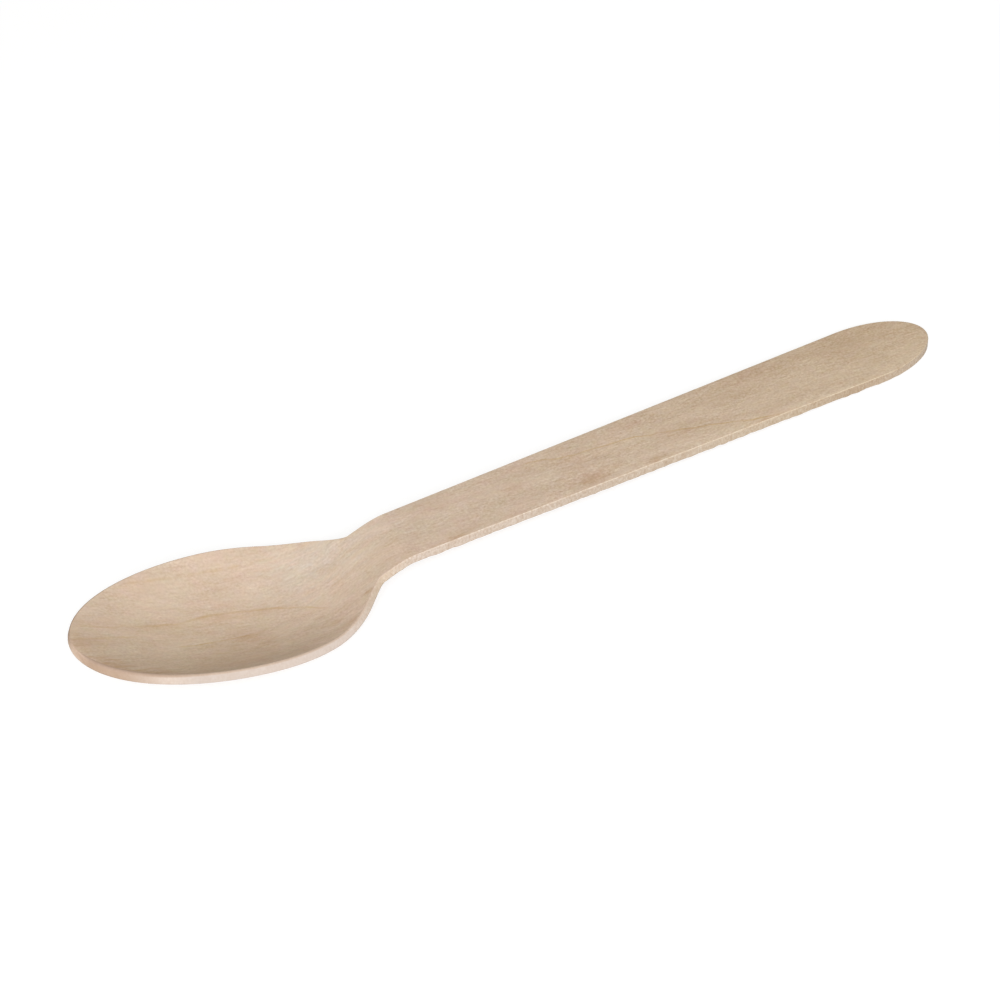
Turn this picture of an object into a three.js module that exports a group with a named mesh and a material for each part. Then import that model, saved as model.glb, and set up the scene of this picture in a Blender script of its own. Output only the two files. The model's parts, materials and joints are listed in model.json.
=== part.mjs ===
// A disposable spoon pressed from one sheet of birch veneer, in millimetres with +Z up.
// A flat blank is cut to outline and pressed hot. The bowl is hollowed and pitched up towards
// its tip, the neck bends up out of the bowl, and the handle stays flat. Along the blank, x runs
// from the tip of the bowl, y from the middle line and z from the handle's top face.
import * as THREE from "three";
import { mergeVertices } from "three/addons/utils/BufferGeometryUtils.js";

// Outline of the blank.
const spoonLength = 165;
const bowlWidth = 30;
const bowlFront = 28; // tip to the bowl's widest place
const bowlBack = 24; // widest place to where the bowl would close without a handle
const neckWidth = 11.8; // handle where it leaves the bowl
const neckRounding = 3; // fill in the corner between bowl and handle
const handleWidth = 14.6; // handle at its widest
const handleRounding = 14; // length of the handle's round end

// The sheet and its pressing.
const veneerThickness = 1.6;
const bowlDepth = 4.2; // rim to floor at the widest place
const tipLift = 3.2; // tip of the rim above the handle's top face
const tipLip = 2; // how far in from the tip the sheet stays nearly level with the rim
const rimPitch = THREE.MathUtils.degToRad(10); // fall of the rim from the tip towards the neck
const neckBend = 20; // length in which the neck climbs from the bowl to the handle
const neckReach = 6.5; // how far that climb runs on past the bowl

// Facets along and across the blank.
const tipSteps = 16;
const neckSteps = 26;
const handleSteps = 4;
const roundSteps = 10;
const widthSteps = 14;
const weldDistance = 0.001;
const slopeStep = 0.01; // distance over which a slope of the sheet is measured

const bowlEnd = bowlFront + bowlBack;
const neckEnd = bowlEnd + neckReach;
const neckStart = neckEnd - neckBend;
const roundStart = spoonLength - handleRounding;

// Half-width at x of an ellipse whose middle and half-length lie on the middle line.
function ellipseHalf(x, middle, halfLength, half) {
  const share = (x - middle) / halfLength;
  return half * Math.sqrt(Math.max(0, 1 - share * share));
}

// The handle widens evenly from the neck and ends in half an ellipse.
function handleHalf(x) {
  if (x > roundStart) {
    return ellipseHalf(x, roundStart, handleRounding, handleWidth / 2);
  }
  return THREE.MathUtils.mapLinear(x, bowlEnd, roundStart, neckWidth / 2, handleWidth / 2);
}

// Half the blank's width: the wider of bowl and handle, with the corner between them rounded.
function halfWidth(x) {
  if (x < bowlFront) {
    return ellipseHalf(x, bowlFront, bowlFront, bowlWidth / 2);
  }
  if (x > bowlEnd) {
    return handleHalf(x);
  }
  const bowl = ellipseHalf(x, bowlFront, bowlBack, bowlWidth / 2);
  const handle = handleHalf(x);
  const nearness = Math.max(0, 1 - Math.abs(bowl - handle) / neckRounding);
  return Math.max(bowl, handle) + (neckRounding * nearness * nearness) / 4;
}

// The rim falls straight from the tip, then climbs through the neck to the handle's level.
function rimHeight(x) {
  const climbed = THREE.MathUtils.smoothstep(x, neckStart, neckEnd);
  return (1 - climbed) * (tipLift - x * Math.tan(rimPitch));
}

// Depth of the hollow below the rim, on the middle line. It starts level at the lip of the tip.
function hollowDepth(x) {
  if (x < bowlFront) {
    const inside = Math.hypot(x, tipLip) - tipLip;
    const across = Math.hypot(bowlFront, tipLip) - tipLip;
    return bowlDepth * (1 - (1 - inside / across) ** 2);
  }
  return bowlDepth * (1 - THREE.MathUtils.smoothstep(x, bowlFront, neckEnd));
}

// Across the spoon the hollow is a parabola that reaches the rim's height at the cut edge.
// It flattens out at the tip, where the blank has no width, and at the end of the neck.
function hollowCurl(x) {
  return x > 0 && x < neckEnd ? hollowDepth(x) / halfWidth(x) ** 2 : 0;
}

function topHeight(x, y) {
  return rimHeight(x) - hollowDepth(x) + hollowCurl(x) * y * y;
}

// A point of the pressed sheet, at a distance below the top face measured square to the sheet.
function sheetPoint(x, y, below) {
  const slopeX = (topHeight(x + slopeStep, y) - topHeight(x - slopeStep, y)) / (2 * slopeStep);
  const slopeY = (topHeight(x, y + slopeStep) - topHeight(x, y - slopeStep)) / (2 * slopeStep);
  const outward = new THREE.Vector3(-slopeX, -slopeY, 1).normalize();
  return new THREE.Vector3(x, y, topHeight(x, y)).addScaledVector(outward, -below);
}

// Evenly spaced values from one number up to, but not at, another.
function spaced(from, to, steps) {
  return Array.from({ length: steps }, (_, i) => THREE.MathUtils.lerp(from, to, i / steps));
}

// Places of the cross sections, closer together towards the two round ends.
const tipAngles = spaced(0, Math.PI / 2, tipSteps);
const roundAngles = spaced(0, Math.PI / 2, roundSteps);
const stations = [
  ...tipAngles.map((angle) => bowlFront * (1 - Math.cos(angle))),
  ...spaced(bowlFront, neckEnd, neckSteps),
  ...spaced(neckEnd, roundStart, handleSteps),
  ...roundAngles.map((angle) => roundStart + handleRounding * Math.sin(angle)),
  spoonLength,
];

// A unit block, divided along and across, takes the shape of the pressed sheet point by point.
function pressBlank() {
  const lengthSteps = stations.length - 1;
  const block = new THREE.BoxGeometry(1, 1, 1, lengthSteps, widthSteps, 1);
  block.deleteAttribute("normal");
  block.deleteAttribute("uv");
  const corners = block.getAttribute("position");
  for (let i = 0; i < corners.count; i += 1) {
    const x = stations[Math.round((corners.getX(i) + 0.5) * lengthSteps)];
    const y = 2 * corners.getY(i) * halfWidth(x);
    const below = (0.5 - corners.getZ(i)) * veneerThickness;
    const point = sheetPoint(x, y, below);
    corners.setXYZ(i, point.x, point.y, point.z);
  }
  return block;
}

// The block's two ends close to an upright line, so the faces that vanish there are dropped.
function weld(geometry) {
  const welded = mergeVertices(geometry, weldDistance);
  const faces = welded.getIndex().array;
  const kept = [];
  for (let i = 0; i < faces.length; i += 3) {
    const [a, b, c] = faces.slice(i, i + 3);
    if (a !== b && b !== c && c !== a) {
      kept.push(a, b, c);
    }
  }
  welded.setIndex(kept);
  welded.computeVertexNormals();
  return welded;
}

// On a table the spoon touches under its bowl and at the end of its handle.
function restTilt() {
  const heel = sheetPoint(spoonLength, 0, veneerThickness);
  const bowlStations = stations.filter((x) => x < neckEnd);
  const falls = bowlStations.map((x) => {
    const under = sheetPoint(x, 0, veneerThickness);
    return (heel.z - under.z) / (heel.x - under.x);
  });
  return Math.atan(Math.max(...falls));
}

const birch = new THREE.MeshStandardMaterial({ color: 0xcfb89d, roughness: 0.75, metalness: 0 });

const spoon = new THREE.Mesh(weld(pressBlank()), birch);
spoon.name = "spoon";
spoon.rotation.y = restTilt();
const lying = new THREE.Box3().setFromObject(spoon, true);
spoon.position.set(-(lying.min.x + lying.max.x) / 2, 0, -lying.min.z);

const disposableSpoon = new THREE.Group();
disposableSpoon.add(spoon);

export default disposableSpoon;
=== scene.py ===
import json
import math

import bmesh
import bpy
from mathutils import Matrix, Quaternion, Vector

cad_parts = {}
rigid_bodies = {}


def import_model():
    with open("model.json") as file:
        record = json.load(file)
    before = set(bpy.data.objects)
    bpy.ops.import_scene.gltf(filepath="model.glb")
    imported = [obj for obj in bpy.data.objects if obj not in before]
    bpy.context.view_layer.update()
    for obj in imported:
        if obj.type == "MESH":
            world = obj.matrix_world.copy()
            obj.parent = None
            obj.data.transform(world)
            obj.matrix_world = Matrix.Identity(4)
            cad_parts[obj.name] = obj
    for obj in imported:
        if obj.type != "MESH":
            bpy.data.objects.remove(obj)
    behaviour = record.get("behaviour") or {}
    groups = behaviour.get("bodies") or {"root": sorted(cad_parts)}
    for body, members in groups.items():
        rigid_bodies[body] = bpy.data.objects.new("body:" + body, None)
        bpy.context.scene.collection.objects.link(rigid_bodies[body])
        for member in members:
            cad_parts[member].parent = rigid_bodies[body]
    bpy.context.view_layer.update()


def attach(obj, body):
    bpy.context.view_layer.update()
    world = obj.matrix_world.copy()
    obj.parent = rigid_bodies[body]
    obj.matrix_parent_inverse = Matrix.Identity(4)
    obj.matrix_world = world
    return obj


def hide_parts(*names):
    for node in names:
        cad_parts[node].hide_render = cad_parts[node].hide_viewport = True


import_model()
mm = 0.001
noiseMiddle = 0.5            # every noise varies about this
print("frame loaded")

# disposable spoon of one birch veneer, die-cut flat and then pressed hot, in millimetres
# x runs along the blank from the tip of the bowl, y from its middle line, z from the handle's top face
spoonSize = {
    "length": 165.0,
    "bowlWidth": 30.0,
    "bowlFront": 28.0,       # tip to the widest place
    "bowlBack": 24.0,        # widest place to where the bowl would close without a handle
    "neckWidth": 11.8,
    "neckRounding": 3.0,     # fill in the corner between bowl and handle
    "handleWidth": 14.6,
    "handleRounding": 14.0,  # length of the handle's round end
    "thickness": 1.6,
    "bowlDepth": 4.2,
    "tipLift": 3.2,          # tip of the rim above the handle's top face
    "tipLip": 2.0,           # the sheet stays nearly level this far in from the tip
    "rimPitch": 10.0,        # degrees, fall of the rim from the tip to the neck
    "neckBend": 20.0,        # length of the climb from the bowl to the handle
    "neckReach": 6.5,        # how far that climb runs on past the bowl
    "restTilt": 3.0066,      # degrees, lying on its bowl and the end of its handle
}
bowlFront = spoonSize["bowlFront"]
bowlEnd = bowlFront + spoonSize["bowlBack"]
neckEnd = bowlEnd + spoonSize["neckReach"]
neckStart = neckEnd - spoonSize["neckBend"]
roundStart = spoonSize["length"] - spoonSize["handleRounding"]


def easeBetween(x, start, end):
    share = min(max((x - start) / (end - start), 0.0), 1.0)
    return share * share * (3 - 2 * share)


def ovalHalf(x, middle, halfLength, half):
    return half * math.sqrt(max(0.0, 1 - ((x - middle) / halfLength) ** 2))


def handleHalf(x):
    widest = spoonSize["handleWidth"] / 2
    narrowest = spoonSize["neckWidth"] / 2
    if x > roundStart:
        return ovalHalf(x, roundStart, spoonSize["handleRounding"], widest)
    return narrowest + (widest - narrowest) * (x - bowlEnd) / (roundStart - bowlEnd)


def halfWidth(x):
    half = spoonSize["bowlWidth"] / 2
    if x < bowlFront:
        return ovalHalf(x, bowlFront, bowlFront, half)
    if x > bowlEnd:
        return handleHalf(x)
    bowl = ovalHalf(x, bowlFront, spoonSize["bowlBack"], half)
    handle = handleHalf(x)
    # the corner where the two outlines meet is filled
    nearness = max(0.0, 1 - abs(bowl - handle) / spoonSize["neckRounding"])
    return max(bowl, handle) + spoonSize["neckRounding"] * nearness ** 2 / 4


def rimHeight(x):
    slope = math.tan(math.radians(spoonSize["rimPitch"]))
    return (1 - easeBetween(x, neckStart, neckEnd)) * (spoonSize["tipLift"] - x * slope)


def hollowDepth(x):
    depth = spoonSize["bowlDepth"]
    lip = spoonSize["tipLip"]
    if x < bowlFront:                     # level at the lip, then down to the widest place
        inside = (math.hypot(x, lip) - lip) / (math.hypot(bowlFront, lip) - lip)
        return depth * (1 - (1 - inside) ** 2)
    return depth * (1 - easeBetween(x, bowlFront, neckEnd))


def hollowCurl(x):
    return hollowDepth(x) / halfWidth(x) ** 2 if 0 < x < neckEnd else 0.0


# selecting and modifier helpers
def clearSelection():
    for thing in bpy.context.scene.objects:
        thing.select_set(False)


def selectPoints(piece, test):
    bpy.ops.mesh.select_mode(type="VERT")
    mesh = bmesh.from_edit_mesh(piece.data)
    for point in mesh.verts:
        point.select = test(point)
    mesh.select_flush_mode()
    bmesh.update_edit_mesh(piece.data)


def selectEdges(piece, test):
    bpy.ops.mesh.select_mode(type="EDGE")
    bpy.ops.mesh.select_all(action="DESELECT")
    mesh = bmesh.from_edit_mesh(piece.data)
    for edge in [edge for edge in mesh.edges if test(edge)]:
        edge.select = True
    bmesh.update_edit_mesh(piece.data)


def applyModifier(piece, kind, **settings):
    modifier = piece.modifiers.new(kind.lower(), kind)
    for name, value in settings.items():
        setattr(modifier, name, value)
    bpy.ops.object.modifier_apply(modifier=modifier.name)


# the press die: a trough that is scaled and dropped station by station
dieSize = {
    "pitch": 0.5,
    "halfWidth": 17.0,
    "before": 2.0,           # reach past the tip of the spoon
    "after": 3.0,            # reach past the end of the handle
}


def makeDie():
    columns = round((neckEnd + dieSize["before"]) / dieSize["pitch"])
    rows = round(2 * dieSize["halfWidth"] / dieSize["pitch"])
    reach = (columns * dieSize["pitch"] * mm, 2 * dieSize["halfWidth"] * mm, 1)
    clearSelection()
    bpy.ops.mesh.primitive_grid_add(x_subdivisions=columns, y_subdivisions=rows, size=1)
    die = bpy.context.object
    die.name = "pressDie"
    bpy.ops.object.mode_set(mode="EDIT")
    bpy.ops.transform.resize(value=reach, center_override=(0, 0, 0))
    bpy.ops.transform.translate(value=(reach[0] / 2 - dieSize["before"] * mm, 0, 0))
    near = dieSize["pitch"] * mm / 4      # picks out one line of points
    for row in range(rows // 2):
        y = (dieSize["halfWidth"] - row * dieSize["pitch"]) * mm
        selectPoints(die, lambda point: abs(abs(point.co.y) - y) < near)
        bpy.ops.transform.translate(value=(0, 0, y * y / mm))     # height is y squared, in millimetres
    for column in range(columns + 1):
        station = column * dieSize["pitch"] - dieSize["before"]
        drop = (rimHeight(station) - (hollowDepth(station) if station > 0 else 0)) * mm
        selectPoints(die, lambda point: abs(point.co.x - station * mm) < near)
        bpy.ops.transform.resize(value=(1, 1, hollowCurl(station)), center_override=(0, 0, 0))
        bpy.ops.transform.translate(value=(0, 0, drop))
    onward = (spoonSize["length"] + dieSize["after"] - station) * mm
    bpy.ops.mesh.extrude_region_move(TRANSFORM_OT_translate={"value": (onward, 0, 0)})
    bpy.ops.object.mode_set(mode="OBJECT")
    print("press die made")
    return die


# the flat blank: pairs of points of a circle go to their stations along the outline
blankSize = {
    "tipSteps": 60,
    "backSteps": 52,
    "handleSteps": 184,
    "endSteps": 28,
    "rimBand": 0.9,          # even band of faces along the rim, so that its corners ease cleanly
    "acrossCuts": 27,
    "capHalf": 2.0,          # the rows stop where the tip and the end get narrower than this
    "sameDigits": 7,         # decimals of a metre in which the two points of a pair agree
}


def makeStations():
    tip = [bowlFront * (1 - math.cos(math.pi / 2 * i / blankSize["tipSteps"]))
           for i in range(blankSize["tipSteps"])]
    back = [bowlFront + (neckEnd - bowlFront) * i / blankSize["backSteps"]
            for i in range(blankSize["backSteps"])]
    handle = [neckEnd + (roundStart - neckEnd) * i / blankSize["handleSteps"]
              for i in range(blankSize["handleSteps"])]
    end = [roundStart + spoonSize["handleRounding"] * math.sin(math.pi / 2 * i / blankSize["endSteps"])
           for i in range(blankSize["endSteps"] + 1)]
    return tip + back + handle + end


def isInner(edge):
    rimGaps = [halfWidth(point.co.x / mm) - abs(point.co.y) / mm for point in edge.verts]
    return edge.is_boundary and min(rimGaps) > blankSize["rimBand"] / 2


def makeBlank():
    stations = makeStations()
    radius = spoonSize["length"] / 2 * mm
    clearSelection()
    bpy.ops.mesh.primitive_circle_add(vertices=2 * (len(stations) - 1), radius=radius)
    blank = bpy.context.object
    blank.name = "veneer_spoon"
    bpy.ops.object.mode_set(mode="EDIT")
    bpy.ops.transform.translate(value=(radius, 0, 0))
    points = bmesh.from_edit_mesh(blank.data).verts
    byPlace = sorted(points, key=lambda point: round(point.co.x, blankSize["sameDigits"]))
    pairs = [byPlace[i:i + 2] for i in range(1, len(byPlace) - 1, 2)]
    levels = [([point.index for point in level], level[0].co.x, abs(level[0].co.y))
              for level in [byPlace[:1], *pairs, byPlace[-1:]]]
    for (indices, x, y), station in zip(levels, stations):
        selectPoints(blank, lambda point: point.index in indices)
        if len(indices) == 2:
            narrowing = halfWidth(station) * mm / y
            bpy.ops.transform.resize(value=(1, narrowing, 1), center_override=(0, 0, 0))
        bpy.ops.transform.translate(value=(station * mm - x, 0, 0))
    # sheet with an even band along the rim, and rows of faces from one side to the other
    bpy.ops.mesh.select_all(action="SELECT")
    bpy.ops.mesh.edge_face_add()
    bpy.ops.mesh.inset(thickness=blankSize["rimBand"] * mm, use_even_offset=True)
    bpy.ops.mesh.delete(type="ONLY_FACE")
    cap = blankSize["capHalf"] * mm
    selectEdges(blank, lambda edge: isInner(edge) and all(abs(point.co.y) > cap for point in edge.verts))
    bpy.ops.mesh.bridge_edge_loops(number_cuts=blankSize["acrossCuts"], interpolation="LINEAR")
    selectEdges(blank, isInner)      # a small cap is left open at the tip and at the end
    bpy.ops.mesh.fill_holes(sides=0)
    bpy.ops.mesh.select_all(action="SELECT")
    bpy.ops.mesh.normals_make_consistent(inside=False)
    if min(face.normal.z for face in bmesh.from_edit_mesh(blank.data).faces) < 0:
        bpy.ops.mesh.flip_normals()
    bpy.ops.object.mode_set(mode="OBJECT")
    print("blank cut to its outline")
    return blank


# pressing: the sheet takes the die's shape, then gets its thickness and its cut edges
edgeSize = {
    # how far the corners of the cut are rubbed round, as (millimetres from the tip, width)
    "upperEasing": [(0, 0.6), (8, 0.6), (16, 0.45), (42, 0.4), (48, 0.25), (60, 0.2)],
    "lowerEasing": [(0, 0.5), (6, 0.2), (34, 0.15), (44, 0.5), (54, 0.45), (62, 0.12)],
    "widestEasing": 0.6,
    "farEasing": 0.25,       # the upper corner of the far side is rubbed less
    "farFrom": (-5.0, 1.0),  # across the blank
    "easingSteps": 5,
    "rimCurl": 0.06,         # the rim is pinched up a little along the bowl's sides
    "curlFullFrom": 7.0,     # millimetres from the tip
    "burr": 0.3,             # ragged lower corner where the cutter broke through
    "burrLength": 1.3,
    "burrUpTo": 155.0,       # millimetres from the tip
    "smoothUpTo": 40.0,      # degrees
}


def alongBlank(stops, x):
    for (start, low), (end, high) in zip(stops, stops[1:]):
        if x <= end:
            return low + (high - low) * max(0.0, x - start) / (end - start)
    return stops[-1][1]


def pressBlank(blank, die):
    clearSelection()
    blank.select_set(True)
    bpy.context.view_layer.objects.active = blank
    applyModifier(blank, "SHRINKWRAP", target=die, wrap_method="PROJECT", use_project_z=True,
                  use_positive_direction=True, use_negative_direction=True)
    bpy.data.objects.remove(die)
    # pinch the rim, most beside the widest place of the bowl
    rim = blank.vertex_groups.new(name="rim")
    for point in blank.data.vertices:
        x = point.co.x / mm
        if x < neckStart and halfWidth(max(x, 0)) - abs(point.co.y) / mm < blankSize["rimBand"] / 2:
            pinch = easeBetween(x, 0, edgeSize["curlFullFrom"]) * (1 - easeBetween(x, bowlFront, neckStart))
            rim.add([point.index], pinch, "REPLACE")
    applyModifier(blank, "DISPLACE", direction="Z", strength=edgeSize["rimCurl"] * mm, mid_level=0,
                  vertex_group="rim")
    blank.vertex_groups.clear()
    applyModifier(blank, "SOLIDIFY", thickness=spoonSize["thickness"] * mm, offset=-1,
                  use_even_offset=True, use_rim=True, material_offset_rim=1)
    # laid down as it rests, over the middle of the frame's box
    bpy.ops.object.mode_set(mode="EDIT")
    bpy.ops.mesh.select_all(action="SELECT")
    bpy.ops.transform.rotate(value=-math.radians(spoonSize["restTilt"]), orient_axis="Y",
                             center_override=(0, 0, 0))
    places = [point.co for point in bmesh.from_edit_mesh(blank.data).verts]
    middle = (min(place.x for place in places) + max(place.x for place in places)) / 2
    lowest = min(place.z for place in places)
    bpy.ops.transform.translate(value=(-middle, 0, -lowest))
    bpy.ops.object.mode_set(mode="OBJECT")
    print("sheet pressed and laid down")


def isCorner(edge):
    return len({face.material_index for face in edge.link_faces}) == 2


def finishEdges(spoon):
    bpy.ops.object.mode_set(mode="EDIT")
    mesh = bmesh.from_edit_mesh(spoon.data)
    weight = mesh.edges.layers.float.new("bevel_weight_edge")
    tornPoints = []
    for edge in filter(isCorner, mesh.edges):
        middle = (edge.verts[0].co + edge.verts[1].co) / 2
        along = middle.x / mm + spoonSize["length"] / 2
        sheet = next(face for face in edge.link_faces if face.material_index == 0)
        if sheet.normal.z > 0:
            farness = easeBetween(middle.y / mm, *edgeSize["farFrom"])
            easing = alongBlank(edgeSize["upperEasing"], along)
            easing *= 1 - farness * (1 - edgeSize["farEasing"])
        else:
            easing = alongBlank(edgeSize["lowerEasing"], along)
            if bowlEnd < along < edgeSize["burrUpTo"]:
                tornPoints += [point.index for point in edge.verts]
        edge[weight] = easing / edgeSize["widestEasing"]
    bpy.ops.object.mode_set(mode="OBJECT")
    # lower corner of the handle, torn a little by the cutter
    torn = bpy.data.textures.new("torn", "CLOUDS")
    torn.noise_scale = edgeSize["burrLength"] * mm
    spoon.vertex_groups.new(name="torn").add(tornPoints, 1.0, "REPLACE")
    applyModifier(spoon, "DISPLACE", texture=torn, texture_coords="LOCAL", vertex_group="torn",
                  strength=edgeSize["burr"] * mm, mid_level=noiseMiddle)
    spoon.vertex_groups.clear()
    # corners rubbed round
    applyModifier(spoon, "BEVEL", width=edgeSize["widestEasing"] * mm, segments=edgeSize["easingSteps"],
                  limit_method="WEIGHT", use_clamp_overlap=False, material=1)
    bpy.ops.object.shade_smooth_by_angle(angle=math.radians(edgeSize["smoothUpTo"]))
    applyModifier(spoon, "WEIGHTED_NORMAL", keep_sharp=True)
    print("edges cut and rubbed")


def makeSpoon():
    die = makeDie()
    spoon = makeBlank()
    spoon.data.materials.append(makeVeneer())
    spoon.data.materials.append(makeCutEdge())
    pressBlank(spoon, die)
    finishEdges(spoon)
    return spoon


# materials
def linear(hexColour):
    parts = [int(hexColour[i:i + 2], 16) / 255 for i in (1, 3, 5)]
    lit = [part / 12.92 if part <= 0.04045 else ((part + 0.055) / 1.055) ** 2.4 for part in parts]
    return (*lit, 1)


# inputs are named or numbered: a colour Mix has its factor at 0, its colours at 6 and 7, its result at 2
def addNode(tree, kind, inputs=None, **settings):
    node = tree.nodes.new(kind)
    for name, value in settings.items():
        setattr(node, name, value)
    for name, value in (inputs or {}).items():
        if isinstance(value, bpy.types.NodeSocket):
            tree.links.new(value, node.inputs[name])
        else:
            node.inputs[name].default_value = value
    return node


# birch veneer, rotary cut, hot-pressed and sanded, with no finish on it: a pale pinkish-tan matt face,
# fine fibre along the sheet, a few soft brown growth lines and stains, and faint pink and olive clouds, with
# some painted shade and a painted highlight in the bowl
veneerLook = {
    "pinkWood": "#CEB5A0",
    "oliveWood": "#CBB7A0",
    "tanWood": "#C8B195",    # towards the end of the handle
    "tanFrom": 75.0,         # millimetres from the tip
    "lineWood": "#B48F54",
    # brown wood, also used for painted shade by the bowl's near rim
    "brownWoodAndShade": "#A5784A",
    "yellowWood": "#CDB58A",
    "greyWood": "#BFB5A6",
    # painted highlight colour for the bowl's far half
    "paintedHighlight": "#DCC8B4",
    "grainTurn": 5.0,        # degrees, the fibre slants this much across the blank
    "strayBy": 1.2,          # millimetres, how far the fibre strays
    "wobbleBy": 0.5,         # and how far a growth line does
    # length along the fibre and width across it, in millimetres; stray comes first, as the rest follow it
    "patterns": {
        "stray": (22.0, 11.0),
        "wobble": (3.5, 3.5),
        "clouds": (6.0, 3.5),
        "patch": (7.0, 3.5),           # where the fibre shows more, and where less
        "breaks": (5.0, 2.0),          # gaps in the growth lines
        "fray": (2.4, 0.8),            # ragged outline of the marks and the painted light
        "broad": (12.0, 3.0),
        "streak": (5.0, 0.8),
        "fibre": (1.7, 0.4),           # finer on real birch, drawn as coarse as it needs to show
        "grit": (0.45, 0.4),           # the same
        "speckle": (1.6, 1.2),
    },
    "noiseSpan": (0.3, 0.7),           # most of a noise lies between these
    "noiseDetail": 2.0,
    "noiseRoughness": 0.55,
    "tones": {"streak": 0.15, "fibre": 0.4, "grit": 0.6},
    "broadTone": 0.36,
    "toneColour": (0.79, 1.07, 1.3),   # dark fibre is browner and pale fibre greyer
    "speckleColour": (0.08, 0.07, 0.18),
    "dash": (1.4, 0.4),                # millimetres, cells of the cut vessels
    "dashEdge": (0.1, 0.5),
    "dashTone": 0.06,
    "patchFibre": (0.65, 1.3),         # strength of the fibre in its patches
    "bowlFibre": 0.66,                 # and in the bowl, where the press leaves it weaker
    "handleFibre": 1.12,
    "fullFibreFrom": 95.0,             # millimetres from the tip
    "paintedSideShade": (0.009, -0.0135),      # painted shade, for each millimetre across, at the neck and at the end of the handle
    "paintedSideShadeOver": (60.0, 135.0),     # millimetres from the tip
    "lineBreaks": (0.4, 1.15),
    "haloWidth": 2.5,
    "bluntedBy": 4.0,                  # a growth line fades out over this length
    "frayBy": 1.6,
    "markEdge": (0.5, 1.8),          # shares of a mark's reach, with the fray added
    "sidesApart": 9.0,                 # millimetres between the patterns of the two sides
    "roughness": 0.72,
    "gloss": 0.25,
    "relief": 0.012,                   # height of the raised fibre, millimetres
}
# growth lines, each as (along, across) points of the blank in millimetres, with its width, its strength
# and its halo, the brown that fades out on one side of it
growthLines = [
    {"path": [(0, 5.0), (5, 4.4), (13, 3.7)], "width": 0.45, "strength": 0.2, "halo": 0.0},
    {"path": [(9.5, 4.2), (18.5, 3.2), (24.1, 3.6), (33.4, 2.1), (37.6, 0.1), (41.3, -2.7), (44, -7)],
     "width": 0.5, "strength": 0.4, "halo": 0.35},
    {"path": [(10, 11.0), (16, 12.2), (22.8, 12.0), (28.3, 11.9), (36.1, 11.1), (46, 9.6)],
     "width": 0.6, "strength": 0.22, "halo": 0.2},
    {"path": [(-1, 1.8), (5.5, 1.5), (13, 1.4)], "width": 0.45, "strength": 0.28, "halo": 0.0},
    {"path": [(15, -2.5), (24.3, -2.9), (31, -3.0)], "width": 0.36, "strength": 0.5, "halo": 0.2},
    {"path": [(83, 5.0), (88.1, 4.2), (91, 3.1), (96.5, 2.2), (103.3, 1.4), (107.4, 0.3), (112.5, -1.3),
              (119.1, -3.4), (125.8, -5.7), (131, -7.2)], "width": 0.36, "strength": 0.52, "halo": 0.2},
]
# marks of brown, grey or yellow wood, with a few brown ones by the near rim as painted shade and a pale one
# as a painted highlight, each as the (along, across) of its middle and its (half length, half width) in
# millimetres, with its colour and its strength
marksAndPaintedLight = [
    {"at": (91.4, -4.8), "reach": (1.8, 1.2), "wood": "brownWoodAndShade", "strength": 0.4},
    {"at": (94.0, -4.4), "reach": (4.0, 2.4), "wood": "brownWoodAndShade", "strength": 0.34},
    {"at": (98.0, -3.4), "reach": (3.6, 1.5), "wood": "brownWoodAndShade", "strength": 0.24},
    {"at": (105.2, -5.6), "reach": (3.2, 1.6), "wood": "brownWoodAndShade", "strength": 0.38},
    {"at": (80, 0.4), "reach": (3.5, 2.6), "wood": "brownWoodAndShade", "strength": 0.24},
    {"at": (66.5, -5.6), "reach": (4.5, 1.1), "wood": "brownWoodAndShade", "strength": 0.38},
    {"at": (127.5, -6.8), "reach": (6.5, 1.2), "wood": "brownWoodAndShade", "strength": 0.4},
    {"at": (26.5, 2.6), "reach": (6.0, 2.4), "wood": "brownWoodAndShade", "strength": 0.24},
    {"at": (28, -3.6), "reach": (5.5, 2.4), "wood": "brownWoodAndShade", "strength": 0.12},
    {"at": (29.5, -6.5), "reach": (3.0, 1.0), "wood": "brownWoodAndShade", "strength": 0.3},
    {"at": (40.5, -5.0), "reach": (2.0, 1.2), "wood": "brownWoodAndShade", "strength": 0.28},
    {"at": (41.5, -8.6), "reach": (2.4, 1.2), "wood": "brownWoodAndShade", "strength": 0.36},
    # painted shade along the near inner wall of the bowl, by its rim
    {"at": (23, -10), "reach": (20, 6), "wood": "brownWoodAndShade", "strength": 0.2},
    # painted shade just inside the rim on the near side of the tip
    {"at": (3.5, -7.5), "reach": (6, 6), "wood": "brownWoodAndShade", "strength": 0.54},
    {"at": (1.5, 0), "reach": (6, 9), "wood": "brownWoodAndShade", "strength": 0.3},
    # painted shade just inside the rim on the near side of the tip
    {"at": (9.5, -10), "reach": (6, 3), "wood": "brownWoodAndShade", "strength": 0.38},
    {"at": (48.6, -6.8), "reach": (1.6, 0.7), "wood": "brownWoodAndShade", "strength": 0.36},
    {"at": (30, -5), "reach": (8, 6), "wood": "brownWoodAndShade", "strength": 0.18},
    {"at": (45, 10), "reach": (4, 3), "wood": "brownWoodAndShade", "strength": 0.28},
    {"at": (43, -11), "reach": (4, 2.5), "wood": "brownWoodAndShade", "strength": 0.22},
    {"at": (46, 6.5), "reach": (17, 10), "wood": "greyWood", "strength": 0.6},
    {"at": (16, -2), "reach": (26, 20), "wood": "yellowWood", "strength": 0.16},
    # painted highlight across the far half of the bowl
    {"at": (33, 7), "reach": (9, 4), "wood": "paintedHighlight", "strength": 0.46},
]


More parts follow.
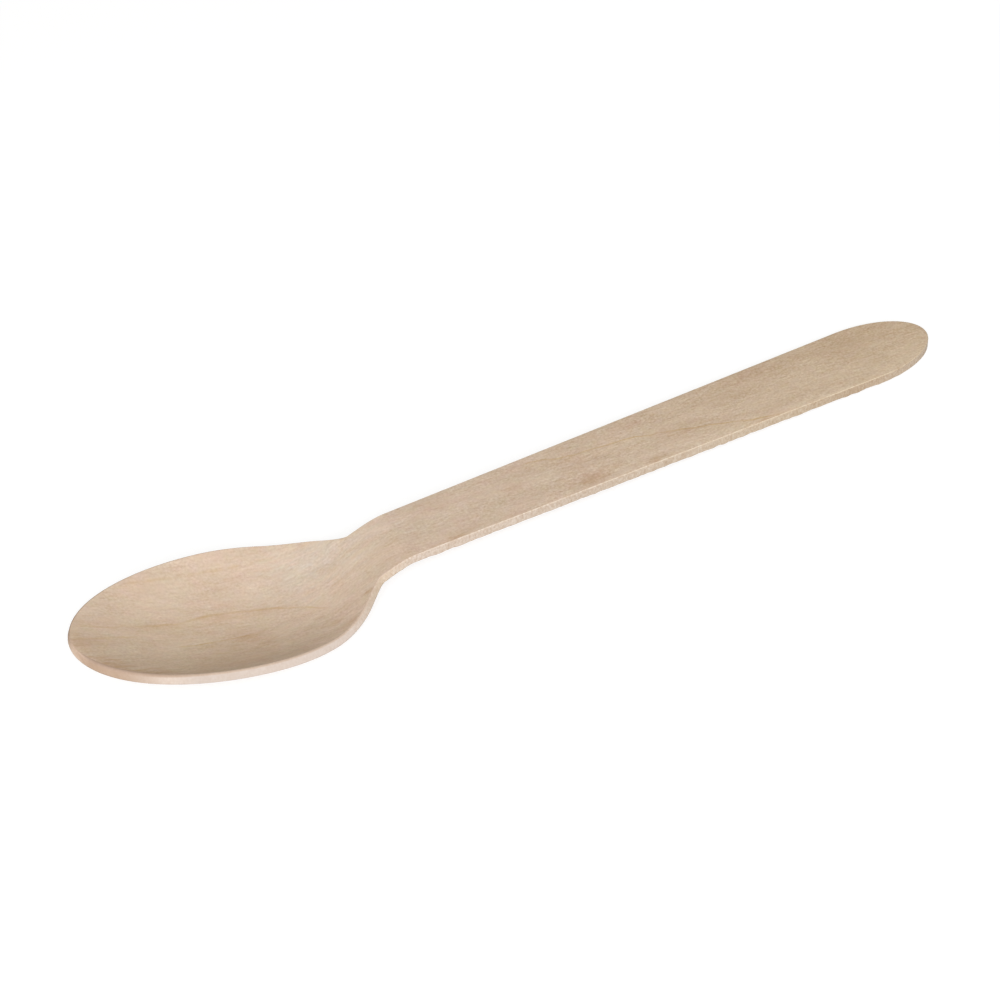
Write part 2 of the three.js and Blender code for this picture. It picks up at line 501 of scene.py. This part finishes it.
def addFlatPlace(tree):
    # millimetres along and across the sheet, with its two sides set apart so that their patterns differ
    coords = addNode(tree, "ShaderNodeTexCoord")
    flat = addNode(tree, "ShaderNodeMapping", {"Vector": coords.outputs["Object"],
                                               "Location": (spoonSize["length"] / 2, 0, 0),
                                               "Scale": (1 / mm, 1 / mm, 0)})
    facing = addNode(tree, "ShaderNodeSeparateXYZ", {0: coords.outputs["Normal"]})
    under = addNode(tree, "ShaderNodeMath", {0: facing.outputs["Z"], 1: 0.0}, operation="LESS_THAN")
    apart = addNode(tree, "ShaderNodeCombineXYZ", {"Z": under.outputs[0]})
    return addNode(tree, "ShaderNodeVectorMath", {0: apart.outputs[0], 1: (0, 0, veneerLook["sidesApart"]),
                                                  2: flat.outputs[0]},
                   operation="MULTIPLY_ADD").outputs[0]


def addGrowthLine(tree, along, across, wobble, line):
    path = line["path"]
    start = path[0][0]
    end = path[-1][0]
    reach = spoonSize["bowlWidth"]
    share = addNode(tree, "ShaderNodeMapRange", {"Value": along, "From Min": start, "From Max": end})
    course = addNode(tree, "ShaderNodeFloatCurve", {"Value": share.outputs[0]})
    points = course.mapping.curves[0].points
    spots = [((x - start) / (end - start), (y + reach / 2) / reach) for x, y in path]
    points[0].location = spots[0]
    points[1].location = spots[-1]
    for spot in spots[1:-1]:
        points.new(*spot)
    course.mapping.update()
    middle = addNode(tree, "ShaderNodeMapRange", {"Value": course.outputs[0], "To Min": -reach / 2,
                                                  "To Max": reach / 2}, clamp=False)
    beside = addNode(tree, "ShaderNodeMath", {0: across, 1: middle.outputs[0]}, operation="SUBTRACT")
    beside = addNode(tree, "ShaderNodeMath", {0: beside.outputs[0], 1: wobble}, operation="ADD")
    away = addNode(tree, "ShaderNodeMath", {0: beside.outputs[0]}, operation="ABSOLUTE")
    core = addNode(tree, "ShaderNodeMapRange", {"Value": away.outputs[0], "From Min": 0.0,
                                                "From Max": line["width"],
                                                "To Min": 1.0, "To Max": 0.0},
                   interpolation_type="SMOOTHSTEP")
    halo = addNode(tree, "ShaderNodeMapRange", {"Value": beside.outputs[0],
                                                "From Min": -veneerLook["haloWidth"], "From Max": 0.0,
                                                "To Min": 0.0, "To Max": line["halo"]})
    near = addNode(tree, "ShaderNodeMath", {0: beside.outputs[0], 1: 0.0}, operation="LESS_THAN")
    halo = addNode(tree, "ShaderNodeMath", {0: halo.outputs[0], 1: near.outputs[0]}, operation="MULTIPLY")
    both = addNode(tree, "ShaderNodeMath", {0: core.outputs[0], 1: halo.outputs[0]}, operation="MAXIMUM")
    fadeIn = addNode(tree, "ShaderNodeMapRange", {"Value": along, "From Min": start,
                                                  "From Max": start + veneerLook["bluntedBy"]},
                     interpolation_type="SMOOTHSTEP")
    fadeOut = addNode(tree, "ShaderNodeMapRange", {"Value": along, "From Min": end - veneerLook["bluntedBy"],
                                                   "From Max": end,
                                                   "To Min": line["strength"], "To Max": 0.0},
                      interpolation_type="SMOOTHSTEP")
    window = addNode(tree, "ShaderNodeMath", {0: fadeIn.outputs[0], 1: fadeOut.outputs[0]},
                     operation="MULTIPLY")
    return addNode(tree, "ShaderNodeMath", {0: both.outputs[0], 1: window.outputs[0]},
                   operation="MULTIPLY").outputs[0]


def addMarkOrPaintedLight(tree, place, fray, markOrLight):
    x, y = markOrLight["at"]
    halfLength, half = markOrLight["reach"]
    whole, gone = veneerLook["markEdge"]
    centred = addNode(tree, "ShaderNodeMapping", {"Vector": place, "Scale": (1 / halfLength, 1 / half, 0),
                                                  "Location": (-x / halfLength, -y / half, 0)})
    away = addNode(tree, "ShaderNodeVectorMath", {0: centred.outputs[0]}, operation="LENGTH")
    frayed = addNode(tree, "ShaderNodeMath", {0: fray, 1: veneerLook["frayBy"], 2: away.outputs["Value"]},
                     operation="MULTIPLY_ADD")
    return addNode(tree, "ShaderNodeMapRange", {"Value": frayed.outputs[0],
                                                "From Min": whole, "From Max": gone,
                                                "To Min": markOrLight["strength"], "To Max": 0.0},
                   interpolation_type="SMOOTHSTEP").outputs[0]


def addPatterns(tree, place):
    # every pattern is a noise of its own size along the straying fibre
    grain = place
    noise = {}
    for name, (length, width) in veneerLook["patterns"].items():
        stretch = addNode(tree, "ShaderNodeMapping", {"Vector": grain, "Scale": (1 / length, 1 / width, 1)})
        noise[name] = addNode(tree, "ShaderNodeTexNoise", {"Vector": stretch.outputs[0], "Scale": 1.0,
                                                           "Detail": veneerLook["noiseDetail"],
                                                           "Roughness": veneerLook["noiseRoughness"]})
        if name == "stray":
            stray = veneerLook["strayBy"]
            bend = addNode(tree, "ShaderNodeMath", {0: noise[name].outputs["Fac"], 1: 2 * stray, 2: -stray},
                           operation="MULTIPLY_ADD")
            bent = addNode(tree, "ShaderNodeCombineXYZ", {"Y": bend.outputs[0]})
            bent = addNode(tree, "ShaderNodeVectorMath", {0: place, 1: bent.outputs[0]}, operation="ADD")
            turn = (0, 0, math.radians(veneerLook["grainTurn"]))
            turned = addNode(tree, "ShaderNodeMapping", {"Vector": bent.outputs[0], "Rotation": turn})
            grain = turned.outputs[0]
    return noise, grain


def addDashes(tree, grain):
    # short pale and dark dashes, the cut vessels
    length, width = veneerLook["dash"]
    whole, gone = veneerLook["dashEdge"]
    cells = addNode(tree, "ShaderNodeMapping", {"Vector": grain, "Scale": (1 / length, 1 / width, 1)})
    dashes = addNode(tree, "ShaderNodeTexVoronoi", {"Vector": cells.outputs[0], "Scale": 1.0})
    body = addNode(tree, "ShaderNodeMapRange", {"Value": dashes.outputs["Distance"], "From Min": whole,
                                                "From Max": gone, "To Min": 1.0, "To Max": 0.0},
                   interpolation_type="SMOOTHSTEP")
    chance = addNode(tree, "ShaderNodeSeparateColor", {0: dashes.outputs["Color"]})
    sign = addNode(tree, "ShaderNodeMapRange", {"Value": chance.outputs["Red"],
                                                "To Min": -1.0, "To Max": 1.0})
    return addNode(tree, "ShaderNodeMath", {0: body.outputs[0], 1: sign.outputs[0]},
                   operation="MULTIPLY").outputs[0]


def addFibre(tree, noise, grain, along, across):
    # light and dark of the fibre, weaker in patches and in the bowl
    low, high = veneerLook["noiseSpan"]
    tone = 0.0
    for name, strength in veneerLook["tones"].items():
        centred = addNode(tree, "ShaderNodeMath", {0: noise[name].outputs["Fac"], 1: noiseMiddle},
                          operation="SUBTRACT")
        tone = addNode(tree, "ShaderNodeMath", {0: centred.outputs[0], 1: strength, 2: tone},
                       operation="MULTIPLY_ADD").outputs[0]
    tone = addNode(tree, "ShaderNodeMath", {0: addDashes(tree, grain), 1: veneerLook["dashTone"], 2: tone},
                   operation="MULTIPLY_ADD")
    weak, strong = veneerLook["patchFibre"]
    patch = addNode(tree, "ShaderNodeMapRange", {"Value": noise["patch"].outputs["Fac"], "From Min": low,
                                                 "From Max": high, "To Min": weak, "To Max": strong})
    shown = addNode(tree, "ShaderNodeMapRange", {"Value": along, "From Min": neckStart,
                                                 "From Max": veneerLook["fullFibreFrom"],
                                                 "To Min": veneerLook["bowlFibre"],
                                                 "To Max": veneerLook["handleFibre"]})
    amount = addNode(tree, "ShaderNodeMath", {0: patch.outputs[0], 1: shown.outputs[0]}, operation="MULTIPLY")
    tone = addNode(tree, "ShaderNodeMath", {0: tone.outputs[0], 1: amount.outputs[0]}, operation="MULTIPLY")
    broad = addNode(tree, "ShaderNodeMath", {0: noise["broad"].outputs["Fac"], 1: noiseMiddle},
                    operation="SUBTRACT")
    tone = addNode(tree, "ShaderNodeMath", {0: broad.outputs[0], 1: veneerLook["broadTone"],
                                            2: tone.outputs[0]}, operation="MULTIPLY_ADD")
    # painted shade: the handle is a little darker on one side at the neck, and on the other at its end
    fromPlace, toPlace = veneerLook["paintedSideShadeOver"]
    fromTone, toTone = veneerLook["paintedSideShade"]
    lean = addNode(tree, "ShaderNodeMapRange", {"Value": along, "From Min": fromPlace, "From Max": toPlace,
                                                "To Min": fromTone, "To Max": toTone})
    onHandle = addNode(tree, "ShaderNodeMapRange", {"Value": along, "From Min": bowlEnd, "From Max": neckEnd})
    lean = addNode(tree, "ShaderNodeMath", {0: lean.outputs[0], 1: onHandle.outputs[0]}, operation="MULTIPLY")
    tone = addNode(tree, "ShaderNodeMath", {0: lean.outputs[0], 1: across, 2: tone.outputs[0]},
                   operation="MULTIPLY_ADD")
    return addNode(tree, "ShaderNodeVectorMath", {0: tone.outputs[0], 1: veneerLook["toneColour"],
                                                  2: (1, 1, 1)}, operation="MULTIPLY_ADD").outputs[0]


def addWood(tree, noise, place, along, across):
    # pink and olive clouds, turning tan towards the end of the handle
    low, high = veneerLook["noiseSpan"]
    clouds = addNode(tree, "ShaderNodeMapRange", {"Value": noise["clouds"].outputs["Fac"], "From Min": low,
                                                  "From Max": high})
    colour = addNode(tree, "ShaderNodeMix", {0: clouds.outputs[0], 6: linear(veneerLook["pinkWood"]),
                                             7: linear(veneerLook["oliveWood"])}, data_type="RGBA")
    tanned = addNode(tree, "ShaderNodeMapRange", {"Value": along, "From Min": veneerLook["tanFrom"],
                                                  "From Max": spoonSize["length"]})
    colour = addNode(tree, "ShaderNodeMix", {0: tanned.outputs[0], 6: colour.outputs[2],
                                             7: linear(veneerLook["tanWood"])}, data_type="RGBA")
    # growth lines, with gaps, and marks, a few of them painted shade and one a painted highlight
    wobble = veneerLook["wobbleBy"]
    wobbling = addNode(tree, "ShaderNodeMath", {0: noise["wobble"].outputs["Fac"], 1: 2 * wobble, 2: -wobble},
                       operation="MULTIPLY_ADD")
    weak, strong = veneerLook["lineBreaks"]
    breaks = addNode(tree, "ShaderNodeMapRange", {"Value": noise["breaks"].outputs["Fac"], "From Min": low,
                                                  "From Max": high, "To Min": weak, "To Max": strong})
    lines = 0.0
    for line in growthLines:
        mark = addGrowthLine(tree, along, across, wobbling.outputs[0], line)
        lines = addNode(tree, "ShaderNodeMath", {0: mark, 1: lines}, operation="MAXIMUM").outputs[0]
    lines = addNode(tree, "ShaderNodeMath", {0: lines, 1: breaks.outputs[0]}, operation="MULTIPLY")
    colour = addNode(tree, "ShaderNodeMix", {0: lines.outputs[0], 6: colour.outputs[2],
                                             7: linear(veneerLook["lineWood"])}, data_type="RGBA")
    for markOrLight in marksAndPaintedLight:
        mark = addMarkOrPaintedLight(tree, place, noise["fray"].outputs["Fac"], markOrLight)
        colour = addNode(tree, "ShaderNodeMix", {0: mark, 6: colour.outputs[2],
                                                 7: linear(veneerLook[markOrLight["wood"]])}, data_type="RGBA")
    return colour.outputs[2]


def makeVeneer():
    veneer = bpy.data.materials.new("birch veneer")
    veneer.use_nodes = True
    tree = veneer.node_tree
    shader = tree.nodes["Principled BSDF"]
    place = addFlatPlace(tree)
    spread = addNode(tree, "ShaderNodeSeparateXYZ", {0: place})
    along = spread.outputs["X"]
    across = spread.outputs["Y"]
    noise, grain = addPatterns(tree, place)
    fibre = addFibre(tree, noise, grain, along, across)
    wood = addWood(tree, noise, place, along, across)
    shade = addNode(tree, "ShaderNodeVectorMath", {0: wood, 1: fibre}, operation="MULTIPLY")
    # small drift of the colour
    drift = veneerLook["speckleColour"]
    drifting = addNode(tree, "ShaderNodeVectorMath", {0: noise["speckle"].outputs["Color"], 1: drift,
                                                      2: tuple(1 - part / 2 for part in drift)},
                       operation="MULTIPLY_ADD")
    shade = addNode(tree, "ShaderNodeVectorMath", {0: shade.outputs[0], 1: drifting.outputs[0]},
                    operation="MULTIPLY")
    bump = addNode(tree, "ShaderNodeBump", {"Height": noise["fibre"].outputs["Fac"], "Strength": 1.0,
                                            "Distance": veneerLook["relief"] * mm})
    tree.links.new(shade.outputs[0], shader.inputs["Base Color"])
    tree.links.new(bump.outputs[0], shader.inputs["Normal"])
    shader.inputs["Roughness"].default_value = veneerLook["roughness"]
    shader.inputs["Specular IOR Level"].default_value = veneerLook["gloss"]
    print("veneer painted")
    return veneer


# the same birch where the die cut through it: paler than the pressed face along the sides, browner on the
# end grain of the tip and the handle's end, with fine upright fibre marks
cutLook = {
    # colours along the blank, as (millimetres from the tip, colour): the cut, and its upper corner, whose
    # colour is a pale line of crushed fibre and painted highlight along the handle, and painted shade along
    # the bowl
    "cutWood": [(0, "#E2C8B2"), (0.8, "#AF947D"), (5, "#AB937E"), (11, "#C6B5A6"), (15, "#BDAEA1"),
                (42, "#CABAAD"), (51, "#C5B19A"), (58, "#C5B3A2"), (90, "#BCAA97"), (130, "#BAA78F"),
                (145, "#AF9980"), (165, "#C0AE99")],
    "cornerCrushAndPaintedLight": [(0, "#D6BBA4"), (1.4, "#AC9380"), (10, "#B29A86"), (18, "#BFA995"), (50, "#C4AE9A"),
                   (62, "#D6C5B3"), (150, "#D2BFA3"), (165, "#C6B195")],
    "cornerFacing": (0.5, 0.85),       # upward part of the normal, from the cut to its corner, which takes the corner's painted light
    "stipple": (0.36, 0.36, 0.6),      # millimetres, upright marks of the fibre, coarse enough to show
    "stippleTone": 0.8,
    "toneColour": (0.75, 1.05, 1.35),  # dark marks are browner
    "bowlStipple": 0.3,                # the bowl's edge is smoother
    "blotch": (1.6, 1.6, 3.0),
    "blotchTone": 0.1,
    "noiseDetail": 2.0,
    "roughness": 0.8,
    "gloss": 0.25,
}


def makeCutEdge():
    edge = bpy.data.materials.new("birch cut edge")
    edge.use_nodes = True
    tree = edge.node_tree
    shader = tree.nodes["Principled BSDF"]
    coords = addNode(tree, "ShaderNodeTexCoord")
    place = addNode(tree, "ShaderNodeMapping", {"Vector": coords.outputs["Object"],
                                                "Location": (spoonSize["length"] / 2, 0, 0),
                                                "Scale": (1 / mm, 1 / mm, 1 / mm)})
    spread = addNode(tree, "ShaderNodeSeparateXYZ", {0: place.outputs[0]})
    share = addNode(tree, "ShaderNodeMath", {0: spread.outputs["X"], 1: spoonSize["length"]},
                    operation="DIVIDE")
    wood = {}
    for name in ("cutWood", "cornerCrushAndPaintedLight"):
        wood[name] = addNode(tree, "ShaderNodeValToRGB", {0: share.outputs[0]})
        stops = wood[name].color_ramp.elements
        for station, colour in cutLook[name][1:-1]:
            stops.new(station / spoonSize["length"])
        for stop, (station, colour) in zip(stops, cutLook[name]):
            stop.position = station / spoonSize["length"]
            stop.color = linear(colour)
    # the upward-facing part of the corner gets its own colour: painted highlight along the handle, painted
    # shade along the bowl
    facing = addNode(tree, "ShaderNodeSeparateXYZ", {0: coords.outputs["Normal"]})
    fromSide, toTop = cutLook["cornerFacing"]
    corner = addNode(tree, "ShaderNodeMapRange", {"Value": facing.outputs["Z"], "From Min": fromSide,
                                                  "From Max": toTop}, interpolation_type="SMOOTHSTEP")
    colour = addNode(tree, "ShaderNodeMix", {0: corner.outputs[0], 6: wood["cutWood"].outputs[0],
                                             7: wood["cornerCrushAndPaintedLight"].outputs[0]}, data_type="RGBA")
    # stipple and blotches
    rough = addNode(tree, "ShaderNodeMapRange", {"Value": spread.outputs["X"], "From Min": neckStart,
                                                 "From Max": neckEnd,
                                                 "To Min": cutLook["stippleTone"] * cutLook["bowlStipple"],
                                                 "To Max": cutLook["stippleTone"]})
    tone = 0.0
    for name, strength in (("stipple", rough.outputs[0]), ("blotch", cutLook["blotchTone"])):
        fine = addNode(tree, "ShaderNodeMapping", {"Vector": place.outputs[0],
                                                   "Scale": tuple(1 / size for size in cutLook[name])})
        marks = addNode(tree, "ShaderNodeTexNoise", {"Vector": fine.outputs[0], "Scale": 1.0,
                                                     "Detail": cutLook["noiseDetail"]})
        marks = addNode(tree, "ShaderNodeMath", {0: marks.outputs["Fac"], 1: noiseMiddle},
                        operation="SUBTRACT")
        tone = addNode(tree, "ShaderNodeMath", {0: marks.outputs[0], 1: strength, 2: tone},
                       operation="MULTIPLY_ADD").outputs[0]
    shading = addNode(tree, "ShaderNodeVectorMath", {0: tone, 1: cutLook["toneColour"], 2: (1, 1, 1)},
                      operation="MULTIPLY_ADD")
    shade = addNode(tree, "ShaderNodeVectorMath", {0: colour.outputs[2], 1: shading.outputs[0]},
                    operation="MULTIPLY")
    tree.links.new(shade.outputs[0], shader.inputs["Base Color"])
    shader.inputs["Roughness"].default_value = cutLook["roughness"]
    shader.inputs["Specular IOR Level"].default_value = cutLook["gloss"]
    print("cut edge painted")
    return edge


spoon = makeSpoon()
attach(spoon, "root")
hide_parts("spoon")
print("spoon", len(spoon.data.polygons), "faces")

# pale table, which goes over into the white background
tableLook = {
    "halfSide": 1.5,         # metres
    "paint": "#EEEEEE",      # as it lights the spoon
    "roughness": 0.9,
    "gloss": 0.0,
    "seenGlow": 0.73,        # what the camera sees, with the shadow in the painted part
    "seenPaint": 0.36,
    "plainFrom": 0.1,        # metres from the middle, where it begins to turn plain white
    "plainAt": 0.3,
}


def addSeen(tree):
    # 1 for what the camera sees, also in reflections and through glass
    ways = addNode(tree, "ShaderNodeLightPath").outputs
    seen = ways["Is Camera Ray"]
    for name in ("Is Glossy Ray", "Is Transmission Ray"):
        seen = addNode(tree, "ShaderNodeMath", {0: seen, 1: ways[name]}, operation="MAXIMUM").outputs[0]
    return seen


def makeTable():
    clearSelection()
    bpy.ops.mesh.primitive_plane_add(size=2 * tableLook["halfSide"])
    table = bpy.context.object
    table.name = "table"
    paint = bpy.data.materials.new("white table")
    paint.use_nodes = True
    tree = paint.node_tree
    shader = tree.nodes["Principled BSDF"]
    shader.inputs["Base Color"].default_value = linear(tableLook["paint"])
    shader.inputs["Roughness"].default_value = tableLook["roughness"]
    shader.inputs["Specular IOR Level"].default_value = tableLook["gloss"]
    coords = addNode(tree, "ShaderNodeTexCoord")
    away = addNode(tree, "ShaderNodeVectorMath", {0: coords.outputs["Object"]}, operation="LENGTH")
    parts = []
    for name, plain in (("seenGlow", 1.0), ("seenPaint", 0.0)):
        part = addNode(tree, "ShaderNodeMapRange", {"Value": away.outputs["Value"],
                                                    "From Min": tableLook["plainFrom"],
                                                    "From Max": tableLook["plainAt"],
                                                    "To Min": tableLook[name], "To Max": plain},
                       interpolation_type="SMOOTHSTEP")
        parts.append(part.outputs[0])
    glow = addNode(tree, "ShaderNodeEmission", {"Strength": parts[0]})
    soft = addNode(tree, "ShaderNodeBsdfDiffuse", {"Color": parts[1]})
    both = addNode(tree, "ShaderNodeAddShader", {0: glow.outputs[0], 1: soft.outputs[0]})
    pick = addNode(tree, "ShaderNodeMixShader", {0: addSeen(tree), 1: shader.outputs[0], 2: both.outputs[0]})
    tree.links.new(pick.outputs[0], tree.nodes["Material Output"].inputs["Surface"])
    table.data.materials.append(paint)
    print("table laid")


makeTable()

# plain soft light from the front, in metres and watts
lightSize = {
    "ambient": 0.34,
    "ambientColour": (1.0, 0.96, 0.83, 1),       # warmer, as from a room
    "keyDistance": 0.9,
    "keyWide": 0.9,
    "keyHigh": 0.5,
    "keyLean": 50.0,         # degrees from straight above towards the front
    "keyTurn": -25.0,        # degrees towards the tip of the bowl
    "keyPower": 9.5,
    "keyColour": (0.98, 1.0, 1.07),
}


def makeLights():
    world = bpy.data.worlds.new("studio")
    world.use_nodes = True
    tree = world.node_tree
    tree.nodes.clear()
    seen = addSeen(tree)
    tint = addNode(tree, "ShaderNodeMix", {0: seen, 6: lightSize["ambientColour"], 7: (1, 1, 1, 1)},
                   data_type="RGBA")
    strength = addNode(tree, "ShaderNodeMapRange", {"Value": seen, "To Min": lightSize["ambient"],
                                                    "To Max": 1.0})
    sky = addNode(tree, "ShaderNodeBackground", {"Color": tint.outputs[2], "Strength": strength.outputs[0]})
    addNode(tree, "ShaderNodeOutputWorld", {"Surface": sky.outputs[0]})
    bpy.context.scene.world = world
    lean = math.radians(lightSize["keyLean"])
    turn = math.radians(lightSize["keyTurn"])
    towards = Vector((math.sin(lean) * math.sin(turn), -math.sin(lean) * math.cos(turn), math.cos(lean)))
    lamp = bpy.data.lights.new("key", "AREA")
    lamp.shape = "RECTANGLE"
    lamp.size = lightSize["keyWide"]
    lamp.size_y = lightSize["keyHigh"]
    lamp.energy = lightSize["keyPower"]
    lamp.color = lightSize["keyColour"]
    key = bpy.data.objects.new("key", lamp)
    key.location = towards * lightSize["keyDistance"]
    key.rotation_euler = towards.to_track_quat("Z", "Y").to_euler()
    bpy.context.scene.collection.objects.link(key)
    print("light set")


makeLights()

# camera at the photograph's angle, in millimetres
view = {
    "target": Vector((-4.4, 1.2, 3.9)),
    "distance": 491.23,
    "turn": 26.83,           # degrees, looking from the bowl's side
    "lookDown": 41.75,       # degrees below level
    "roll": -5.14,           # degrees
    "lens": 105.05,
}


def makeCamera():
    turn = math.radians(view["turn"])
    down = math.radians(view["lookDown"])
    ahead = Vector((math.cos(down) * math.sin(turn), math.cos(down) * math.cos(turn), -math.sin(down)))
    lens = bpy.data.cameras.new("camera")
    lens.lens = view["lens"]
    camera = bpy.data.objects.new("camera", lens)
    camera.location = (view["target"] - ahead * view["distance"]) * mm
    camera.rotation_mode = "QUATERNION"
    camera.rotation_quaternion = (ahead.to_track_quat("-Z", "Y")
                                  @ Quaternion((0, 0, 1), math.radians(view["roll"])))
    bpy.context.scene.collection.objects.link(camera)
    bpy.context.scene.camera = camera
    print("camera set")


makeCamera()
bpy.context.scene.view_settings.view_transform = "Standard"
